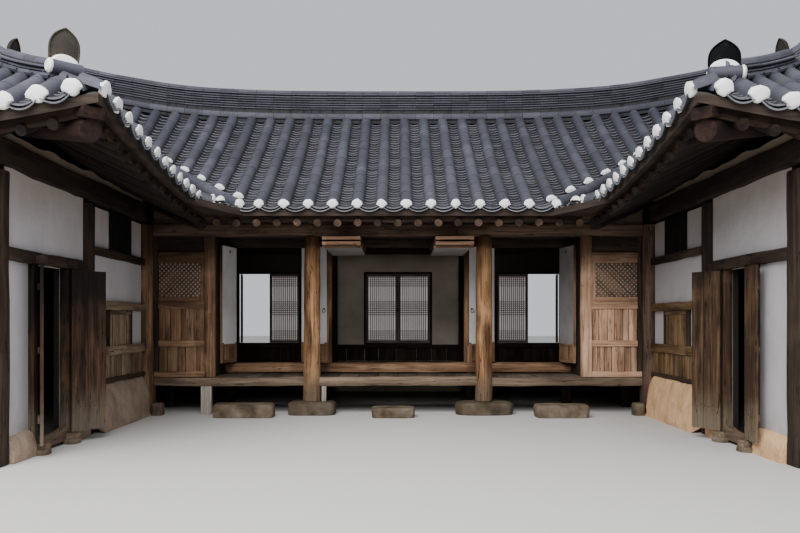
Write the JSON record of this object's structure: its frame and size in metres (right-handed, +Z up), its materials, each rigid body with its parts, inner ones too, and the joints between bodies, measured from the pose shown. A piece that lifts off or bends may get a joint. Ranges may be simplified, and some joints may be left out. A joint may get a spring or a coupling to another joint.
{
  "type": "hanok house",
  "caption": "Old tile-roofed timber house round three sides of a court, with an open veranda, papered hall doors, plank side doors and hip-and-gable roofs.",
  "frame": {"origin": "on the ground, under the middle of the plan", "axes": "+X along the main range, -Y towards the open side of the court, +Z up"},
  "size_m": [14.4016, 9.5016, 5.6868],
  "materials": {
    "roof_tile": "matte grey-blue fired clay, weathered",
    "lime_plaster": "matte white lime caps, streaked",
    "beam_timber": "old dark timber, dry and cracked",
    "column_timber": "bare golden-brown timber, dark at the head and grey at the foot",
    "board_timber": "old brown boards",
    "plank_timber": "weathered planks, paler towards the bottom",
    "floor_timber": "worn grey-tan boards",
    "wall_plaster": "smooth pale plaster, stained below the eaves",
    "earth_render": "rough ochre earth render",
    "field_stone": "rough dressed stone",
    "door_paper": "aged white paper over wooden lattice",
    "iron_fittings": "blackened iron"
  },
  "bodies": {
    "house": {"main_roof": "roof_tile", "wing_roof_left": "roof_tile", "wing_roof_right": "roof_tile", "main_ridge": "roof_tile", "wing_ridge_left": "roof_tile", "wing_ridge_right": "roof_tile", "front_beam": "beam_timber", "court_eave_left": "beam_timber", "court_eave_right": "beam_timber", "outer_frame_left": "beam_timber", "outer_frame_right": "beam_timber", "end_frame_left": "beam_timber", "end_frame_right": "beam_timber", "rear_frame": "beam_timber", "inner_frame": "beam_timber", "court_frame_left": "beam_timber", "court_frame_right": "beam_timber", "rear_wall": "wall_plaster", "outer_wall_left": "wall_plaster", "outer_wall_right": "wall_plaster", "end_wall_left": "wall_plaster", "end_wall_right": "wall_plaster", "panel_wall_left": "wall_plaster", "panel_wall_right": "wall_plaster", "inner_wall": "wall_plaster", "door_wall_left": "wall_plaster", "door_wall_right": "wall_plaster", "earth_base_left": "earth_render", "earth_base_right": "earth_render", "partition_left": "board_timber", "partition_right": "board_timber", "front_column_left": "column_timber", "front_column_right": "column_timber", "plinth_stone_left": "field_stone", "plinth_stone_right": "field_stone", "step_stone_left": "field_stone", "step_stone_centre": "field_stone", "step_stone_right": "field_stone", "floor_beam": "floor_timber", "veranda_floor": "floor_timber", "hall_floor": "floor_timber", "lifted_doors_left": "door_paper", "lifted_doors_right": "door_paper", "rear_window_left": "door_paper", "rear_window_centre": "door_paper", "rear_window_right": "door_paper"},
    "wing_door_right_far": {"wing_door_right_far": "plank_timber"},
    "wing_door_left_far": {"wing_door_left_far": "plank_timber"},
    "wing_door_right_near": {"wing_door_right_near": "plank_timber"},
    "wing_door_left_near": {"wing_door_left_near": "plank_timber"},
    "hall_door_right_inner": {"hall_door_right_inner": "door_paper"},
    "hall_door_left_inner": {"hall_door_left_inner": "door_paper"},
    "hall_door_right_outer": {"hall_door_right_outer": "door_paper"},
    "hall_door_left_outer": {"hall_door_left_outer": "door_paper"}
  },
  "joints": [
    {"name": "wing_door_right_far_swing", "type": "hinge", "parent": "house", "child": "wing_door_right_far", "pos_m": [3.462, -2.58, 0.9], "axis": [0, 0, 1], "range_deg": [0, 148]},
    {"name": "wing_door_left_far_swing", "type": "hinge", "parent": "house", "child": "wing_door_left_far", "pos_m": [-3.462, -2.68, 0.9], "axis": [0, 0, 1], "range_deg": [-144, 0]},
    {"name": "wing_door_right_near_swing", "type": "hinge", "parent": "house", "child": "wing_door_right_near", "pos_m": [3.462, -3.23, 0.9], "axis": [0, 0, 1], "range_deg": [-176, 0]},
    {"name": "wing_door_left_near_swing", "type": "hinge", "parent": "house", "child": "wing_door_left_near", "pos_m": [-3.462, -3.4, 0.9], "axis": [0, 0, 1], "range_deg": [0, 156]},
    {"name": "hall_door_right_inner_swing", "type": "hinge", "parent": "house", "child": "hall_door_right_inner", "pos_m": [1.43, 0.805, 0.9], "axis": [0, 0, 1], "range_deg": [0, 145]},
    {"name": "hall_door_left_inner_swing", "type": "hinge", "parent": "house", "child": "hall_door_left_inner", "pos_m": [-1.43, 0.805, 0.9], "axis": [0, 0, 1], "range_deg": [-145, 0]},
    {"name": "hall_door_right_outer_swing", "type": "hinge", "parent": "house", "child": "hall_door_right_outer", "pos_m": [2.47, 0.805, 0.9], "axis": [0, 0, 1], "range_deg": [-102, 0]},
    {"name": "hall_door_left_outer_swing", "type": "hinge", "parent": "house", "child": "hall_door_left_outer", "pos_m": [-2.47, 0.805, 0.9], "axis": [0, 0, 1], "range_deg": [0, 102]}
  ]
}
